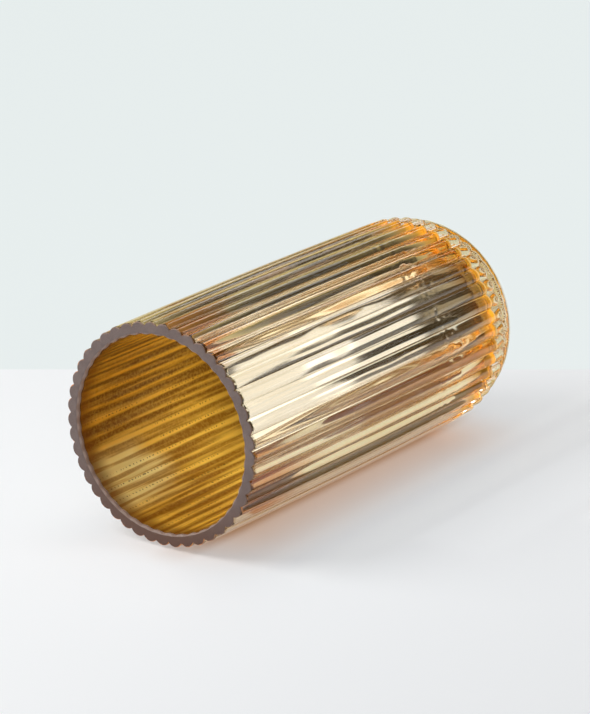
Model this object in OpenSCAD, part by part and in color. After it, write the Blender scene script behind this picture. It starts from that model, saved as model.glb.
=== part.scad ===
// Reeded cylinder vase of thick clear glass with a gold lustre lining.
// The origin is the centre of the underside, and +Z points up along the vase's axis to the mouth.

/* [Vase] */
// Height from the resting face to the ground lip
height = 254; // [180:1:320]
// Outer diameter, measured over the reed crests
outer_d = 118; // [106:1:140]
// Thickness of the glass from a reed crest to the bore
wall_t = 7; // [5.6:0.1:8]

/* [Reeds] */
// Number of reeds round the wall
reed_count = 45; // [30:1:60]
// Depth of the valley between two reeds
reed_depth = 2; // [1:0.1:2.2]
// Height of the rounded foot of each reed, above the heel
reed_foot_h = 4; // [2.5:0.1:6]

/* [Base] */
// Thickness of the clear glass under the floor
base_t = 20; // [12:0.5:24]
// Height of the smooth rounded heel below the reeds
heel_h = 20; // [16:0.5:22]
// How far the heel draws in towards the resting face
heel_in = 13; // [10:0.5:15]
// Radius of the corner inside the vase, between floor and bore
floor_corner_r = 12; // [8:0.5:16]
// Diameter of the shallow hollow in the underside
punt_d = 66; // [40:1:72]
// Depth of the hollow in the underside
punt_depth = 2; // [0.5:0.1:4]

/* [Lip] */
// Height of the ground band at the mouth
lip_h = 2.4; // [1.5:0.1:5]
// Width of the polished bevel on the lip's inner edge
lip_bevel = 0.8; // [0.4:0.1:1.2]

/* [Lining] */
// Thickness of the lustre lining
lining_t = 0.4; // [0.3:0.05:0.9]

/* [Hidden] */
$fn = 180;

crest_r = outer_d / 2;
valley_r = crest_r - reed_depth;
bore_r = crest_r - wall_t;
// A reed is round in section, through its crest and the two valleys beside it.
reed_half_angle = 180 / reed_count;
reed_half_chord = valley_r * sin(reed_half_angle);
reed_rise = crest_r - valley_r * cos(reed_half_angle);
reed_r = (pow(reed_half_chord, 2) + pow(reed_rise, 2)) / (2 * reed_rise);
// The heel starts just inside the valleys, as one arc that meets the resting face heel_in further in.
heel_top_r = valley_r - 0.15;
heel_r = (pow(heel_h, 2) + pow(heel_in, 2)) / (2 * heel_in);
// The foot of a reed rounds in from the crest to the heel.
foot_in = crest_r - heel_top_r;
foot_r = (pow(reed_foot_h, 2) + pow(foot_in, 2)) / (2 * foot_in);
// The seam between base and wall is above the floor's corner and the reeds' feet, and stepped at mid-wall.
seam_step = 2;
seam_z = max(base_t + floor_corner_r, heel_h + reed_foot_h) + seam_step;
seam_r = bore_r + (valley_r - bore_r) / 2;
lip_z = height - lip_h;
// The sphere that cuts the hollow in the underside.
punt_r = (pow(punt_d / 2, 2) + pow(punt_depth, 2)) / (2 * punt_depth);
// Extra reach of a cutting shape past the face that it cuts.
past = 1;

// Section of the reeded glass: a ring of round reeds on a solid core.
module reeded_section() {
    circle(r = valley_r * cos(reed_half_angle));
    for (i = [0 : reed_count - 1])
        rotate(i * 360 / reed_count)
            translate([crest_r - reed_r, 0])
                circle(r = reed_r, $fn = 60);
}

// Area from the axis out to an arc that is plumb at (r, top) and draws in as it falls to z = bottom.
module rounded_in(r, arc_r, bottom, top) {
    intersection() {
        translate([r - arc_r, top])
            circle(r = arc_r);
        translate([0, bottom])
            square([r, top - bottom]);
    }
    translate([0, bottom])
        square([r - arc_r, top - bottom]);
}

// Solid of revolution round the vase: smooth heel, rounded feet of the reeds, then plumb to z = top.
module outline_body(top) {
    rotate_extrude() {
        rounded_in(heel_top_r, heel_r, 0, heel_h);
        rounded_in(crest_r, foot_r, heel_h, heel_h + reed_foot_h);
        translate([0, heel_h + reed_foot_h])
            square([crest_r + past, top - heel_h - reed_foot_h]);
    }
}

// Round-bottomed solid of revolution: radius r, floor at z = bottom, open past z = top.
module cup_body(r, bottom, top, corner) {
    rotate_extrude() {
        translate([0, bottom])
            square([r - corner, top - bottom]);
        translate([0, bottom + corner])
            square([r, top - bottom - corner]);
        intersection() {
            translate([r - corner, bottom + corner])
                circle(r = corner);
            translate([0, bottom])
                square([r, corner]);
        }
    }
}

// Reeded glass between two heights, with the heel rounded off.
module reeded_body(bottom, top) {
    intersection() {
        translate([0, 0, bottom])
            linear_extrude(top - bottom)
                reeded_section();
        outline_body(height + past);
    }
}

// The space below the seam, which divides the base from the wall.
module below_seam() {
    translate([0, 0, -past])
        cylinder(r = crest_r + past, h = seam_z - seam_step + past);
    translate([0, 0, -past])
        cylinder(r = seam_r, h = seam_z + past);
}

// Thick clear bottom with the rounded heel and a shallow hollow underneath.
module base() {
    color([0.93, 0.91, 0.82, 0.6])
        difference() {
            intersection() {
                reeded_body(0, seam_z);
                below_seam();
            }
            cup_body(bore_r, base_t, seam_z + past, floor_corner_r);
            translate([0, 0, punt_depth - punt_r])
                sphere(r = punt_r);
        }
}

// Clear wall, reeded outside and smooth inside.
module wall() {
    color([0.87, 0.80, 0.60, 0.6])
        difference() {
            reeded_body(seam_z - seam_step, lip_z);
            below_seam();
            cylinder(r = bore_r, h = height + past);
        }
}

// Ground flat lip with the reeds' scalloped outer edge and a bevelled inner edge.
module lip() {
    color([0.44, 0.38, 0.38])
        difference() {
            reeded_body(lip_z, height);
            translate([0, 0, lip_z - past])
                cylinder(r = bore_r, h = lip_h + 2 * past);
            translate([0, 0, height - lip_bevel])
                cylinder(r1 = bore_r, r2 = bore_r + lip_bevel, h = lip_bevel);
        }
}

// Gold lustre lining over the floor and the bore, up to the lip.
module lining() {
    color([0.76, 0.52, 0.13])
        intersection() {
            difference() {
                cup_body(bore_r, base_t, height, floor_corner_r);
                cup_body(bore_r - lining_t, base_t + lining_t, height + past, floor_corner_r - lining_t);
            }
            cylinder(r = crest_r, h = lip_z);
        }
}

base();
wall();
lip();
lining();
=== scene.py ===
"""A reeded vase of thick clear glass with a gold lustre lining, lying on a pale studio table.

The vase keeps the CAD frame: it stands on +Z, with its mouth at the top. The table is a plane
that touches its side, and the camera is rolled to match, so the vase lies down in the picture.
"""

import math

import bpy
from mathutils import Matrix, Vector, noise


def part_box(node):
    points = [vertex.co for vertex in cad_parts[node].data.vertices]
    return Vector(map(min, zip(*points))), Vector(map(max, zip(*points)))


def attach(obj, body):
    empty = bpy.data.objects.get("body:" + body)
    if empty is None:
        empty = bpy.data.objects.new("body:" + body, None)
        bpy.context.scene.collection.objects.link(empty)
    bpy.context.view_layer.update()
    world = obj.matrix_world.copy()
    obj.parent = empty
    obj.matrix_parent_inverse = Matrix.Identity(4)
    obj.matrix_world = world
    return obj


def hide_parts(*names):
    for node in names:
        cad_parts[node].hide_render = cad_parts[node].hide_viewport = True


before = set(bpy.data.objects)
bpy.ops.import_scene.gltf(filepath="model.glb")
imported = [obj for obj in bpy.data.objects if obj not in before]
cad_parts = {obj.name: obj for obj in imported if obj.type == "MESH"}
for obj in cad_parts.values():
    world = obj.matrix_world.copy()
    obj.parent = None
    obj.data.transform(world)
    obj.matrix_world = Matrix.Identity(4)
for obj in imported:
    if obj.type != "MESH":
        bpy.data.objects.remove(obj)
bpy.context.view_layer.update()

MM = 0.001

# Sizes that the CAD nodes give.
LIP_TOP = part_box("lip")[1].z
LIP_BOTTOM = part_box("lip")[0].z
SEAM_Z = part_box("base")[1].z
CREST_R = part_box("wall")[1].x
BORE_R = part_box("lining")[1].x
FLOOR_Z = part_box("lining")[0].z

# Sizes of the reeds, the heel, the floor and the lip, as in the CAD source.
REEDS = 45
REED_DEPTH = 2 * MM
HEEL_H = 20 * MM
HEEL_IN = 13 * MM
HEEL_STEP = 0.15 * MM
FOOT_H = 4 * MM
CORNER_R = 12 * MM
LINING_T = 0.4 * MM
LIP_BEVEL = 0.8 * MM
PUNT_R = 33 * MM
PUNT_DEPTH = 2 * MM

PITCH = 2 * math.pi / REEDS
VALLEY_R = CREST_R - REED_DEPTH
HALF_CHORD = VALLEY_R * math.sin(PITCH / 2)
REED_RISE = CREST_R - VALLEY_R * math.cos(PITCH / 2)
REED_R = (HALF_CHORD**2 + REED_RISE**2) / (2 * REED_RISE)
REED_CENTRE = CREST_R - REED_R
HEEL_TOP_R = VALLEY_R - HEEL_STEP
HEEL_R = (HEEL_H**2 + HEEL_IN**2) / (2 * HEEL_IN)
FEET_Z = HEEL_H + FOOT_H
PUNT_SPHERE_R = (PUNT_R**2 + PUNT_DEPTH**2) / (2 * PUNT_DEPTH)

# Blown glass isn't true: the wall swells at mid height, its radius wanders, and its reeds sway.
SWELL = 0.9 * MM
SWELL_MEAN = 0.66
WANDER = 0.10 * MM
SWAY = 0.0022
# The widths over which two reeds melt into a valley, and a reed's foot into the heel.
VALLEY_BLEND = 0.22 * MM
FOOT_BLEND = 0.35 * MM
# Faint flutes that the reeds leave on the heel, and how unevenly the feet end.
HEEL_FLUTE = 0.16 * MM
FOOT_UNEVEN = 0.5 * MM
# The bore follows the reeds a little, and wanders more than the outside, which the mould shapes.
BORE_RIPPLE = 0.28 * MM
BORE_WANDER = 0.12 * MM
# A ring of the bore above the floor is puckered, where the gather was thickest.
PUCKER = 0.07 * MM
PUCKER_Z = 72 * MM
PUCKER_REACH = 12 * MM

# Distance between the pits in a row of the lining.
PIT_STEP = 2.8 * MM

# Glass pieces that meet overlap by this much, so that no air gap shows between them.
LAP = 0.02 * MM
# The lining's outer skin is sunk this far into the glass, as a fired film is.
SKIN = 0.03 * MM

# Points round one reed's pitch, on the glass and on the lining.
GLASS_STEPS = 20
LINING_STEPS = 16

# The vase lies on the table: UP is overhead, MOUTHWARD is along its axis, and ACROSS is to its right.
UP = Vector((1, -1, 0)).normalized()
MOUTHWARD = Vector((0, 0, 1))
ACROSS = UP.cross(MOUTHWARD)


def right_of_vase(degrees):
    """The direction at right angles to the vase's axis, turned up by degrees from its right."""
    return ACROSS * math.cos(math.radians(degrees)) + UP * math.sin(math.radians(degrees))


# ---------------------------------------------------------------- outline of the glass


def smooth_max(a, b, reach):
    """The larger of two lengths, blended over reach where they are close."""
    near = max(reach - abs(a - b), 0) / reach
    return max(a, b) + near * near * reach / 4


def smooth_step(low, high, x):
    """0 below low, 1 above high, and a smooth rise between."""
    t = min(max((x - low) / (high - low), 0), 1)
    return t * t * (3 - 2 * t)


def uneven(angle, z, around, along, start=(0, 0)):
    """Noise from -1 to 1 over the glass: around and along say how fast it changes, and start moves it."""
    way = Vector((math.cos(angle), math.sin(angle), 0))
    return noise.noise(way * around + Vector((*start, z * along)))


def swell(z):
    """How far the wall stands out at a height."""
    t = z / LIP_TOP
    return SWELL * (4 * t * (1 - t) - SWELL_MEAN)


def one_reed(offset, below):
    """Radius of a reed, offset radians from its crest and below metres under its ball end's centre."""
    reach = REED_R**2 - below**2 - (REED_CENTRE * math.sin(offset)) ** 2
    return REED_CENTRE * math.cos(offset) + math.sqrt(reach) if reach > 0 else 0


def reeded(angle, below):
    """Radius of the reeded section, with softened valleys."""
    offset = (angle + PITCH / 2) % PITCH - PITCH / 2
    neighbour = offset - math.copysign(PITCH, offset)
    return smooth_max(one_reed(offset, below), one_reed(neighbour, below), VALLEY_BLEND)


def heel(z):
    """Radius of the smooth heel, plumb above its top."""
    return HEEL_TOP_R - HEEL_R + math.sqrt(HEEL_R**2 - max(HEEL_H - z, 0) ** 2)


def outer_radius(angle, z):
    """Radius of the outside of the glass."""
    sway = SWAY * uneven(angle, z, 5, 9)
    foot_z = FEET_Z + FOOT_UNEVEN * uneven(angle, z, 21, 0)
    radius = reeded(angle + sway, max(foot_z - z, 0))
    if z < FEET_Z + FOOT_UNEVEN:
        flute = HEEL_FLUTE * math.cos(angle * REEDS) * smooth_step(6 * MM, 19 * MM, z)
        radius = smooth_max(radius, heel(z) + flute, FOOT_BLEND)
    wander = WANDER * uneven(angle, z, 3, 14, (7, 0))
    return radius + (wander + swell(z)) * smooth_step(0, FEET_Z, z)


def bore(inset):
    """The radius of the bore, less an inset: it follows the reeds faintly above the floor's corner."""

    def at(angle, z):
        ripple = BORE_RIPPLE * math.cos(angle * REEDS)
        wander = BORE_WANDER * uneven(angle, z, 4, 26, (0, 3))
        near = max(1 - abs(z - PUCKER_Z) / PUCKER_REACH, 0)
        wander += PUCKER * near * uneven(angle, z, 50, 260, (0, 9))
        return BORE_R - inset + (ripple + wander) * smooth_step(FLOOR_Z + CORNER_R / 2, 2 * FEET_Z, z)

    return at


# ---------------------------------------------------------------- mesh building


def new_object(name, data):
    """An object that holds data, put in the scene."""
    made = bpy.data.objects.new(name, data)
    bpy.context.collection.objects.link(made)
    return made


def reed_angles(steps):
    """Angles round the vase, closer together near the valleys between reeds."""
    angles = []
    for reed in range(REEDS):
        for i in range(steps):
            across = 2 * i / steps - 1
            crowded = (across + math.sin(across * math.pi / 2)) / 2
            angles.append((reed + crowded / 2) * PITCH)
    return angles


def even(low, high, count):
    """Evenly spaced values from low to high, both included."""
    return [low + (high - low) * i / (count - 1) for i in range(count)]


def lathe(name, steps, rings, closed=False):
    """A smooth mesh of rings, each (radius, z, slot), that run anticlockwise round the half section.
    The radius may be a function of angle and z, and 0 makes a pole. closed joins the ends."""
    angles = reed_angles(steps)
    count = len(angles)
    vertices = []
    rows = []
    for radius, z, _ in rings:
        if radius == 0:
            rows.append([len(vertices)])
            vertices.append((0, 0, z))
            continue
        rows.append(range(len(vertices), len(vertices) + count))
        for angle in angles:
            r = radius(angle, z) if callable(radius) else radius
            vertices.append((r * math.cos(angle), r * math.sin(angle), z))
    pairs = list(zip(rows, rows[1:], rings[1:]))
    if closed:
        pairs.append((rows[-1], rows[0], rings[0]))
    faces = []
    slots = []
    for before, after, ring in pairs:
        for i in range(count):
            j = (i + 1) % count
            if len(before) == 1:
                faces.append((before[0], after[j], after[i]))
            elif len(after) == 1:
                faces.append((before[i], before[j], after[0]))
            else:
                faces.append((before[i], before[j], after[j], after[i]))
            slots.append(ring[2])
    mesh = bpy.data.meshes.new(name)
    mesh.from_pydata(vertices, [], faces)
    mesh.polygons.foreach_set("use_smooth", [True] * len(faces))
    mesh.polygons.foreach_set("material_index", slots)
    mesh.update()
    return new_object(name, mesh)


def finish_piece(piece, node, materials):
    """Gives a piece its materials, keeps its real edges sharp, hangs it from the root body, and hides its
    CAD node.
    """
    for material in materials:
        piece.data.materials.append(material)
    piece.data.set_sharp_from_angle(angle=math.radians(40))
    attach(piece, "root")
    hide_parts(node)


# ---------------------------------------------------------------- materials


class Tree:
    """Short calls for one node tree."""

    def __init__(self, tree, coordinates):
        self.tree = tree
        self.place = self.add("ShaderNodeTexCoord").outputs[coordinates]

    def add(self, kind, **settings):
        """A new node with some of its settings."""
        node = self.tree.nodes.new(kind)
        for key, value in settings.items():
            setattr(node, key, value)
        return node

    def link(self, source, target):
        """Leads an output to an input."""
        self.tree.links.new(source, target)

    def feed(self, socket, value):
        """Links a socket, or sets it to a number or a colour."""
        if isinstance(value, tuple):
            socket.default_value = (*value, 1)
        elif isinstance(value, (int, float)):
            socket.default_value = value
        else:
            self.link(value, socket)

    def maths(self, operation, a, b=0.0):
        """One sum with one or two values."""
        node = self.add("ShaderNodeMath", operation=operation)
        self.feed(node.inputs[0], a)
        self.feed(node.inputs[1], b)
        return node.outputs[0]

    def ranged(self, value, low, high, out_low=0.0, out_high=1.0):
        """A smooth step from out_low to out_high, as value goes from low to high."""
        node = self.add("ShaderNodeMapRange", interpolation_type="SMOOTHSTEP")
        for socket, number in zip(node.inputs, (value, low, high, out_low, out_high)):
            self.feed(socket, number)
        return node.outputs["Result"]

    def along(self, direction):
        """How far the place is from the origin, along a direction."""
        node = self.add("ShaderNodeVectorMath", operation="DOT_PRODUCT")
        self.link(self.place, node.inputs[0])
        node.inputs[1].default_value = direction
        return node.outputs["Value"]

    def mix(self, factor, a, b):
        """A colour between a, where factor is 0, and b, where it is 1."""
        node = self.add("ShaderNodeMix", data_type="RGBA")
        self.feed(node.inputs[0], factor)
        self.feed(node.inputs[6], a)
        self.feed(node.inputs[7], b)
        return node.outputs[2]


class Look(Tree):
    """A new material, with short calls for its nodes."""

    def __init__(self, name):
        self.material = bpy.data.materials.new(name)
        self.material.use_nodes = True
        super().__init__(self.material.node_tree, "Object")
        self.shader = self.tree.nodes["Principled BSDF"]
        split = self.add("ShaderNodeSeparateXYZ")
        self.link(self.place, split.inputs[0])
        self.x, self.y, self.z = split.outputs

    def set(self, **values):
        """Feeds the shader's sockets, named with _ for a space."""
        for key, value in values.items():
            self.feed(self.shader.inputs[key.replace("_", " ")], value)

    def stretched(self, along):
        """The place, with the vase's length scaled, so that noise runs along the reeds."""
        node = self.add("ShaderNodeVectorMath", operation="MULTIPLY")
        self.link(self.place, node.inputs[0])
        node.inputs[1].default_value = (1, 1, along)
        return node.outputs["Vector"]

    def noise(self, vector, scale, detail=3.0):
        """Cloudy noise from 0 to 1."""
        node = self.add("ShaderNodeTexNoise")
        self.link(vector, node.inputs["Vector"])
        node.inputs["Scale"].default_value = scale
        node.inputs["Detail"].default_value = detail
        return node.outputs["Fac"]

    def bump(self, height, distance, strength=1.0):
        """Bumps in the shading, distance high where height is 1."""
        node = self.add("ShaderNodeBump")
        node.inputs["Strength"].default_value = strength
        node.inputs["Distance"].default_value = distance
        self.link(height, node.inputs["Height"])
        self.link(node.outputs["Normal"], self.shader.inputs["Normal"])

    def turn(self):
        """The angle round the vase's axis, in reeds: a whole number at each crest."""
        return self.maths("DIVIDE", self.maths("ARCTAN2", self.y, self.x), PITCH)

    def from_whole(self, value):
        """How far a number is from the nearest whole one, up to 0.5."""
        return self.maths("ABSOLUTE", self.maths("SUBTRACT", value, self.maths("ROUND", value)))


def clear_glass(name, tint, deep_tint):
    """Clear fire-polished glass with a faint straw tint and a slow ripple."""
    n = Look(name)
    cloud = n.ranged(n.noise(n.stretched(0.4), 22), 0.35, 0.65)
    n.set(Base_Color=n.mix(cloud, tint, deep_tint), Roughness=0.0, IOR=1.5, Transmission_Weight=1.0)
    n.bump(n.noise(n.stretched(0.3), 60, 2.0), 0.04 * MM)
    return n.material


def champagne_lustre():
    """The lining seen through the glass: a pale gold mirror, with painted copper reflections in stripes
    and streaks, and painted amber light at its foot.
    """
    n = Look("lustre_through_glass")
    cloud = n.noise(n.stretched(0.25), 30)
    gold = n.mix(n.ranged(cloud, 0.3, 0.7), (0.95, 0.875, 0.73), (0.94, 0.84, 0.64))

    # Painted reflection: copper stripes along one flank of each reed, broken up, that fade out above mid
    # height, for light that bounces between the reeds and the film. The film is less metallic along them.
    flank = n.from_whole(n.maths("ADD", n.turn(), 0.3))
    fading = n.ranged(n.z, 120 * MM, 210 * MM, 1.0, 0.0)
    painted_light_stripe = n.maths("MULTIPLY", n.ranged(flank, 0.05, 0.14, 1.0, 0.0), fading)
    broken = n.ranged(n.noise(n.stretched(0.1), 120, 2.0), 0.36, 0.50)
    painted_light_stripe = n.maths("MULTIPLY", painted_light_stripe, broken)
    gold = n.mix(painted_light_stripe, gold, (0.78, 0.44, 0.18))

    # Painted reflection: streaks of red copper by the mouth, except on the side that faces the bright
    # panel.
    painted_reflection_streak = n.ranged(n.noise(n.stretched(0.12), 95, 2.0), 0.52, 0.58)
    painted_reflection_streak = n.maths("MULTIPLY", painted_reflection_streak, n.ranged(n.z, 170 * MM, 235 * MM))
    panel_side = n.along(right_of_vase(20))
    elsewhere = n.ranged(panel_side, 0.82 * BORE_R, 0.93 * BORE_R, 0.8, 0.0)
    painted_reflection_streak = n.maths("MULTIPLY", painted_reflection_streak, elsewhere)
    gold = n.mix(painted_reflection_streak, gold, (0.68, 0.28, 0.07))

    # Painted light: amber round the floor's corner and above the reeds' feet, for light that shines
    # through the film there, and paler gold on the floor itself.
    low = n.ranged(n.z, FEET_Z + 4 * MM, FEET_Z + 30 * MM, 1.0, 0.0)
    gold = n.mix(low, gold, (0.98, 0.53, 0.05))
    floor = n.ranged(n.z, FLOOR_Z + 0.5 * MM, FLOOR_Z + 3 * MM, 1.0, 0.0)
    n.set(Base_Color=n.mix(floor, gold, (0.91, 0.80, 0.57)), Roughness=0.05)
    n.set(Metallic=n.ranged(painted_light_stripe, 0.0, 1.0, 1.0, 0.5))

    # Painted glow: the film glows amber in patches at the feet of the reeds, for light from inside that
    # glints through it.
    corner = n.ranged(n.z, FLOOR_Z + 3 * MM, FLOOR_Z + 7 * MM)
    near_feet = n.ranged(n.z, FEET_Z + 3 * MM, FEET_Z + 16 * MM, 1.0, 0.0)
    glint = n.maths("MULTIPLY", corner, near_feet)
    glint = n.maths("MULTIPLY", glint, n.ranged(n.noise(n.place, 75, 3.0), 0.44, 0.62))
    n.set(Emission_Color=n.mix(glint, (0.0, 0.0, 0.0), (1.0, 0.36, 0.01)), Emission_Strength=0.8)
    n.bump(n.noise(n.stretched(0.2), 90, 2.0), 0.03 * MM)
    return n.material


def amber_lustre():
    """The lining seen from the mouth: amber gold, with fine stripes of painted light, a painted pale
    highlight, painted shade deep inside and below the lip, and rows of pits.
    """
    n = Look("lustre_inside")
    turn = n.turn()

    # Painted light: stripes at each reed and between, where the reeds focus light on the film, roughened
    # by streaks, and painted lighter on the side the vase lies on.
    streaks = n.noise(n.stretched(0.05), 300, 3.0)
    painted_light_stripe = n.maths("MULTIPLY", n.from_whole(turn), 0.45)
    finer = n.maths("MULTIPLY", n.from_whole(n.maths("ADD", n.maths("MULTIPLY", turn, 2), 0.3)), 0.4)
    painted_light_stripe = n.maths("ADD", painted_light_stripe, finer)
    shade = n.ranged(n.maths("ADD", painted_light_stripe, streaks), 0.54, 0.92)
    under = n.ranged(n.maths("SUBTRACT", n.y, n.x), -0.3 * BORE_R, 1.3 * BORE_R)
    dark = n.mix(under, (0.16, 0.065, 0.004), (0.33, 0.145, 0.007))
    light = n.mix(under, (0.68, 0.35, 0.022), (1.0, 0.65, 0.085))
    amber = n.mix(shade, dark, light)
    mottle = n.ranged(n.noise(n.place, 700, 3.0), 0.42, 0.62, 0.0, 0.20)
    amber = n.mix(mottle, amber, (0.80, 0.52, 0.10))

    # A painted highlight as a pale patch low on the left as the vase lies, and pits in rows between the
    # reeds around it.
    cloud = n.noise(n.stretched(0.4), 70, 3.0)
    height = n.maths("ADD", n.z, n.maths("MULTIPLY", cloud, 40 * MM))
    height = n.ranged(height, 215 * MM, 245 * MM)
    patch = n.maths("MULTIPLY", height, n.ranged(n.y, 0.90 * BORE_R, 0.99 * BORE_R))
    patch = n.maths("MULTIPLY", patch, n.ranged(shade, 0.1, 0.7, 0.25, 1.0))
    amber = n.mix(patch, amber, (1.0, 0.90, 0.38))
    aside = n.maths("MULTIPLY", n.maths("SUBTRACT", 0.5, n.from_whole(turn)), BORE_R * PITCH)
    jitter = n.maths("MULTIPLY", n.noise(n.place, 260), 2.2)
    pit = n.maths("ADD", jitter, n.maths("DIVIDE", n.z, PIT_STEP))
    along = n.maths("MULTIPLY", n.from_whole(pit), PIT_STEP)
    away = n.maths("SQRT", n.maths("ADD", n.maths("POWER", aside, 2), n.maths("POWER", along, 2)))
    pits = n.ranged(away, 0.2 * MM, 0.6 * MM, 0.8, 0.0)
    pits = n.maths("MULTIPLY", pits, n.ranged(cloud, 0.45, 0.55))
    pits = n.maths("MULTIPLY", pits, n.ranged(n.y, 0.2 * BORE_R, 0.7 * BORE_R))
    amber = n.mix(pits, amber, (0.10, 0.05, 0.01))

    # Painted shade: darker deep inside, and in a band below the lip.
    deep = n.ranged(n.z, 90 * MM, 170 * MM, 0.4, 0.0)
    amber = n.mix(deep, amber, (0.20, 0.09, 0.005))
    rim = n.ranged(n.z, LIP_BOTTOM - 14 * MM, LIP_BOTTOM, 0.0, 0.8)
    amber = n.mix(rim, amber, (0.18, 0.06, 0.005))
    n.set(Base_Color=amber, Metallic=0.5, Roughness=0.33)
    n.bump(n.maths("ADD", n.noise(n.place, 300), n.noise(n.stretched(0.1), 500)), 0.08 * MM)
    return n.material


def ground_glass():
    """The sawn and ground lip: matt, mauve grey, with a fine grain, painted shade in darker brown on the
    side the vase lies on, and painted light at its edges: a pale highlight by the bore and copper on one
    side.
    """
    n = Look("ground_lip")
    cloud = n.ranged(n.noise(n.place, 60), 0.3, 0.7)
    grain = n.noise(n.place, 2600, 2.0)
    grey = n.mix(cloud, (0.115, 0.078, 0.074), (0.15, 0.108, 0.103))
    speck = n.ranged(grain, 0.3, 0.7, 0.0, 0.3)
    grey = n.mix(speck, grey, (0.24, 0.19, 0.18))
    # Painted shade: darker brown on the side the vase lies on.
    under = n.ranged(n.maths("SUBTRACT", n.y, n.x), 0.2 * CREST_R, 1.4 * CREST_R, 0.0, 0.9)
    grey = n.mix(under, grey, (0.100, 0.042, 0.026))
    # Painted light at the edges: copper on one side, for light through the glass, and a pale highlight
    # next to the bore.
    edge = n.mix(n.ranged(n.y, 0, 0.5 * CREST_R), (0.22, 0.13, 0.09), (0.62, 0.24, 0.08))
    radius = n.maths("SQRT", n.maths("ADD", n.maths("POWER", n.x, 2), n.maths("POWER", n.y, 2)))
    edge = n.mix(n.ranged(radius, BORE_R + 1 * MM, BORE_R + 2 * MM), (0.27, 0.19, 0.165), edge)
    grey = n.mix(n.ranged(n.z, LIP_TOP - 0.2 * MM, LIP_TOP - 0.05 * MM, 1.0, 0.0), grey, edge)
    n.set(Base_Color=grey, Roughness=0.55)
    n.bump(grain, 0.06 * MM, 0.6)
    return n.material


# ---------------------------------------------------------------- pieces


def floor_rings(floor, inset, slot):
    """Rings out over the floor and round its corner, to just below the bore."""
    corner = CORNER_R - inset
    middle = BORE_R - CORNER_R
    rings = [(0, floor, slot)]
    rings += [(r, floor, slot) for r in even(4 * MM, middle, 6)]
    for turn in even(0.05, math.pi / 2, 14)[:-1]:
        rings.append((middle + corner * math.sin(turn), floor + corner * (1 - math.cos(turn)), slot))
    return rings


def make_base(glass):
    """The thick clear bottom: hollow underside, resting ring, rounded heel, reeds' feet, round floor."""
    edge_z = 1.5 * MM
    edge_r = heel(edge_z)
    underside = [(0, PUNT_DEPTH, 0)]
    for r in even(3 * MM, PUNT_R, 12):
        underside.append((r, math.sqrt(PUNT_SPHERE_R**2 - r**2) + PUNT_DEPTH - PUNT_SPHERE_R, 0))
    underside.append((PUNT_R + 1 * MM, 0, 0))
    for turn in even(0, math.pi / 2, 6)[:-1]:
        underside.append((edge_r - edge_z * (1 - math.sin(turn)), edge_z * (1 - math.cos(turn)), 0))
    heights = even(edge_z, HEEL_H - 2 * MM, 16) + even(HEEL_H - 1.7 * MM, FEET_Z + 1 * MM, 24)
    heights += even(FEET_Z + 2 * MM, SEAM_Z + LAP, 6)
    outside = [(outer_radius, z, 0) for z in heights]
    seam = [(bore(0), SEAM_Z + LAP, 0), (bore(0), FLOOR_Z + CORNER_R, 0)]
    rings = underside + outside + seam + floor_rings(FLOOR_Z + SKIN, 0, 0)[::-1]
    finish_piece(lathe("base_glass", GLASS_STEPS, rings), "base", [glass])


def bore_heights(low):
    """Heights up the bore from a low end to the lip, closer together over the puckered ring."""
    ring_top = PUCKER_Z + PUCKER_REACH
    return [low] + even(PUCKER_Z - PUCKER_REACH, ring_top, 25) + even(ring_top + 4 * MM, LIP_BOTTOM, 34)


def make_wall(glass):
    """The reeded wall, as a closed tube."""
    rings = [(outer_radius, z, 0) for z in even(SEAM_Z, LIP_BOTTOM, 56)]
    rings += [(bore(0), z, 0) for z in bore_heights(SEAM_Z)[::-1]]
    finish_piece(lathe("wall_glass", GLASS_STEPS, rings, closed=True), "wall", [glass])


def make_lip(ground, glass):
    """The ground lip: flat matt top with nibbled edges, clear outside, ground bevel and bore."""
    low = LIP_BOTTOM - LAP

    def nibbled(angle, z):
        """The outside, drawn in at the ground edge, with small nibbles and a few larger ones."""
        nibble = max(uneven(angle, z, 40, 0) - 0.1, 0) + 2 * max(uneven(angle, z, 13, 0) - 0.45, 0)
        return outer_radius(angle, z) - (0.4 + nibble) * MM

    rings = [(outer_radius, low, 1), (outer_radius, LIP_TOP - 0.5 * MM, 1), (nibbled, LIP_TOP, 0)]
    rings += [(CREST_R - 4 * MM, LIP_TOP, 0), (BORE_R + LIP_BEVEL, LIP_TOP, 0)]
    rings += [(bore(0), LIP_TOP - LIP_BEVEL, 0), (bore(0), low, 0)]
    lip = lathe("lip_glass", GLASS_STEPS, rings, closed=True)
    finish_piece(lip, "lip", [ground, glass])


def make_lining(champagne, amber):
    """The lustre film, as one shell with its own look on each side."""
    heights = bore_heights(FLOOR_Z + CORNER_R)
    outer = floor_rings(FLOOR_Z, -SKIN, 0) + [(bore(-SKIN), z, 0) for z in heights]
    inner = floor_rings(FLOOR_Z + LINING_T, LINING_T, 1) + [(bore(LINING_T), z, 1) for z in heights]
    film = lathe("lustre_lining", LINING_STEPS, outer + inner[::-1])
    finish_piece(film, "lining", [champagne, amber])


# ---------------------------------------------------------------- studio

# How far the camera looks round from the vase's axis, and down, and its directions over the table.
TURN = math.radians(35.06)
RISE = math.radians(18.13)
RIGHT = math.cos(TURN) * ACROSS - math.sin(TURN) * MOUTHWARD
AHEAD = -math.cos(TURN) * MOUTHWARD - math.sin(TURN) * ACROSS
# The distance from the vase's axis to the table, which touches the widest part of its wall.
REST_R = CREST_R + 0.45 * MM
CENTRE = Vector((0, 0, LIP_TOP / 2))

# The camera has a long lens. The mouth is this far from it, and left of and below the picture's middle.
LENS_MM = 171.4
CAMERA_AWAY = 1.690
MOUTH_LEFT = 67.5 * MM
MOUTH_BELOW = 39.0 * MM

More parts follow.
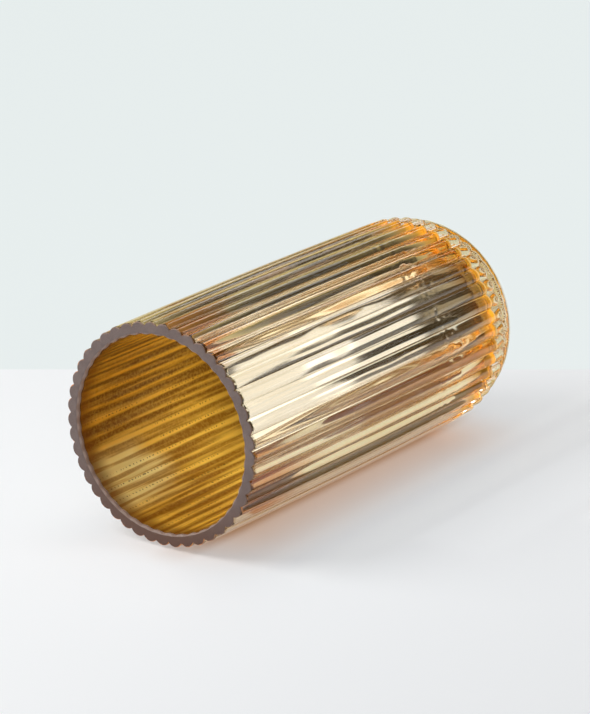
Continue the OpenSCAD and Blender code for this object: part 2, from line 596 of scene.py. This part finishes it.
# The panel and the strips beside the vase are this far from its axis.
LIGHTS_AWAY = 0.45

# The table ends and a pale wall begins this far ahead of the vase's middle.
WALL_AHEAD = 0.180
WALL_COLOUR = (0.776, 0.831, 0.831)


def studio(right, ahead, up):
    """A point by its distances from the middle of the vase, above the table for up."""
    return CENTRE + RIGHT * right + AHEAD * ahead + UP * (up - REST_R)


def aim(obj, location, towards, up):
    """Places an object so that its -Z looks towards a direction, with +Y near up."""
    back = -towards.normalized()
    side = up.cross(back).normalized()
    turned = Matrix((side, back.cross(side), back)).transposed()
    obj.matrix_world = Matrix.Translation(location) @ turned.to_4x4()


def make_camera():
    """The photograph's viewing angle."""
    data = bpy.data.cameras.new("camera")
    data.lens = LENS_MM
    data.sensor_width = 36
    data.clip_end = 30
    camera = new_object("camera", data)
    sight = math.cos(RISE) * AHEAD - math.sin(RISE) * UP
    top = math.cos(RISE) * UP + math.sin(RISE) * AHEAD
    mouth = Vector((0, 0, LIP_TOP))
    place = mouth - sight * CAMERA_AWAY + RIGHT * MOUTH_LEFT + top * MOUTH_BELOW
    aim(camera, place, sight, UP)
    bpy.context.scene.camera = camera


def softbox(name, location, towards, top, width, height, brightness, colour=(1, 1, 1)):
    """A rectangular light that shows in reflections but not to the camera."""
    data = bpy.data.lights.new(name, "AREA")
    data.shape = "RECTANGLE"
    data.size = width
    data.size_y = height
    data.energy = brightness * math.pi * width * height
    data.color = colour
    light = new_object(name, data)
    aim(light, location, towards, top)
    light.visible_camera = False


def table_top():
    """White table and the pale wall behind it, both seen through from behind."""
    n = Look("table_top")
    line = (CENTRE + AHEAD * WALL_AHEAD).dot(AHEAD)
    wall = n.ranged(n.along(AHEAD), line - 2 * MM, line + 2 * MM)
    paper = n.noise(n.place, 3)
    table = n.mix(paper, (0.42, 0.425, 0.43), (0.43, 0.435, 0.44))

    # Painted light and shade: a warm glow on the table beside the vase, for light the gold throws there,
    # and a dark warm contact shade nearest the vase.
    beside = n.maths("ABSOLUTE", n.maths("SUBTRACT", n.along(ACROSS), 12 * MM))
    from_middle = n.maths("ABSOLUTE", n.maths("SUBTRACT", n.z, CENTRE.z))
    within = n.ranged(from_middle, LIP_TOP * 0.3, LIP_TOP * 0.6, 1.0, 0.0)
    warm = n.maths("MULTIPLY", n.ranged(beside, 4 * MM, 60 * MM, 1.0, 0.0), within)
    painted_contact_shade = n.maths("MULTIPLY", n.ranged(beside, 3 * MM, 14 * MM, 1.0, 0.0), within)
    glow = n.mix(warm, (0.472, 0.482, 0.502), (0.45, 0.335, 0.27))
    glow = n.mix(painted_contact_shade, glow, (0.26, 0.13, 0.06))
    table = n.mix(warm, table, (0.40, 0.31, 0.25))
    n.set(Base_Color=n.mix(wall, table, (0.02, 0.02, 0.02)), Roughness=0.7, Specular_IOR_Level=0.1)
    n.set(Emission_Color=n.mix(wall, glow, WALL_COLOUR), Emission_Strength=1.0)

    back = n.add("ShaderNodeNewGeometry").outputs["Backfacing"]
    clear = n.add("ShaderNodeBsdfTransparent").outputs[0]
    shader = n.add("ShaderNodeMixShader")
    for socket, source in zip(shader.inputs, (back, n.shader.outputs[0], clear)):
        n.link(source, socket)
    n.link(shader.outputs[0], n.tree.nodes["Material Output"].inputs["Surface"])
    return n.material


def make_table():
    """A plane that touches the side of the vase."""
    reach = 6
    middle = CENTRE - UP * REST_R
    corners = [middle + (RIGHT * x + AHEAD * y) * reach for x, y in ((-1, -1), (1, -1), (1, 1), (-1, 1))]
    mesh = bpy.data.meshes.new("table")
    mesh.from_pydata(corners, [], [(0, 1, 2, 3)])
    mesh.materials.append(table_top())
    table = new_object("table", mesh)


def card(colour, glow, inner, outer, low, high):
    """A strip of card on the table that only reflections show, between two distances to the vase's
    right and between two heights."""
    n = Look("card")
    n.set(Base_Color=colour, Roughness=0.8, Emission_Color=colour, Emission_Strength=glow)
    edges = [(a, b) for b in (low, high) for a in (inner, outer)]
    corners = [ACROSS * a + MOUTHWARD * b - UP * (REST_R - 1 * MM) for a, b in edges]
    mesh = bpy.data.meshes.new("card")
    mesh.from_pydata(corners, [], [(0, 1, 3, 2)])
    mesh.materials.append(n.material)
    strip = new_object("card", mesh)
    strip.visible_camera = False
    strip.visible_diffuse = False
    strip.visible_shadow = False


def make_cards():
    """Cards side by side, from close to the vase outwards, that give its lowest reeds their lines: the
    dark ones are painted shade of the table and the glowing ones painted light, seen only in reflections.
    """
    olive = (0.32, 0.21, 0.05)
    copper = (0.46, 0.16, 0.04)
    cream = (0.84, 0.79, 0.62)
    white = (0.90, 0.89, 0.84)
    behind = -0.6
    by_mouth = 0.25
    card(olive, 0.0, 42 * MM, 50 * MM, behind, by_mouth)
    card(cream, 0.6, 50 * MM, 60 * MM, -0.12, by_mouth)
    card(copper, 0.0, 60 * MM, 72 * MM, behind, by_mouth)
    card(cream, 0.6, 72 * MM, 88 * MM, -0.12, by_mouth)
    card(olive, 0.0, 88 * MM, 98 * MM, behind, by_mouth)
    card(white, 0.7, 98 * MM, 140 * MM, -0.16, 0.17)
    card(copper, 0.0, 140 * MM, 150 * MM, behind, 0.10)
    card(white, 0.7, 150 * MM, 420 * MM, -0.28, 0.10)


def make_world():
    """A dim room, with a straw glow low down except on its right, and pale straight overhead."""
    world = bpy.data.worlds.new("room")
    bpy.context.scene.world = world
    world.use_nodes = True
    n = Tree(world.node_tree, "Generated")
    glow = n.maths("MULTIPLY", n.ranged(n.along(RIGHT), 0.45, 0.10), n.ranged(n.along(UP), 0.40, 0.22))
    room = n.mix(glow, (0.05, 0.038, 0.022), (0.66, 0.58, 0.32))
    room = n.mix(n.ranged(n.along(UP), 0.86, 0.90), room, WALL_COLOUR)
    n.link(room, n.tree.nodes["Background"].inputs["Color"])


def side_strip(degrees, width, near, far, brightness, colour=(1, 1, 1)):
    """A light along the vase, up by degrees from its right, from near to far beyond its underside."""
    outward = right_of_vase(degrees)
    place = outward * LIGHTS_AWAY - MOUTHWARD * (near + far) / 2
    softbox("side_strip", place, -outward, MOUTHWARD, width, far - near, brightness, colour)


def make_lights():
    """A bright panel and strips beside the vase, soft boxes over and before it, and a bulb inside it."""
    lean = math.radians(17)
    leaning = UP * math.cos(lean) + AHEAD * math.sin(lean)
    softbox("side_panel", studio(LIGHTS_AWAY, 0.050, 0.295), -RIGHT, leaning, 0.146, 0.58, 0.95)
    # White strips for the lines in the base half, each by its degrees, width, near end and far end.
    strips = (
        (-5, 0.04, 0.23, 0.43),
        (12, 0.04, 0.31, 0.43),
        (30, 0.07, 0.33, 0.43),
        (46, 0.04, 0.31, 0.42),
        (62, 0.07, 0.26, 0.41),
        (86, 0.06, 0.23, 0.40),
        (112, 0.06, 0.23, 0.37),
    )
    for degrees, width, near, far in strips:
        side_strip(degrees, width, near, far, 1.05)
    # Dim straw strips beyond them.
    for degrees, width, near in ((35, 0.10, 0.45), (70, 0.10, 0.43), (100, 0.08, 0.42)):
        side_strip(degrees, width, near, 0.70, 0.28, (1.0, 0.86, 0.62))
    softbox("side_near", studio(LIGHTS_AWAY, 0.0, 0.25), -RIGHT, UP, 0.06, 0.30, 1.1)
    softbox("overhead", studio(-0.05, 0.1, 0.8), -UP, AHEAD, 0.4, 0.4, 1.5)
    key = studio(-0.75, -0.1, 0.75)
    softbox("key", key, studio(0, 0, 0) - key, UP, 0.6, 0.6, 7.0)
    softbox("overhead_far", studio(0.3, 0.9, 0.8), -UP, AHEAD, 0.4, 0.4, 1.6)
    softbox("front_fill", studio(0.0, -1.9, 0.7), AHEAD, UP, 2.0, 1.2, 1.0)
    bulb = bpy.data.lights.new("inner_fill", "POINT")
    bulb.energy = 0.14
    bulb.shadow_soft_size = 22 * MM
    fill = new_object("inner_fill", bulb)
    fill.location = (0, 0, 160 * MM)
    fill.visible_camera = False
    fill.visible_glossy = False


wall_glass = clear_glass("clear_wall_glass", (0.99, 0.975, 0.94), (0.98, 0.96, 0.91))
base_glass = clear_glass("clear_base_glass", (0.98, 0.96, 0.87), (0.97, 0.94, 0.83))
make_base(base_glass)
make_wall(wall_glass)
make_lip(ground_glass(), wall_glass)
make_lining(champagne_lustre(), amber_lustre())

make_camera()
make_world()
make_table()
make_cards()
make_lights()

# Light passes many times between the reeds and the lining, and round the inside of the base.
bpy.context.scene.cycles.max_bounces = 24
bpy.context.scene.cycles.glossy_bounces = 12
bpy.context.scene.cycles.transmission_bounces = 20
bpy.context.scene.view_settings.view_transform = "Standard"
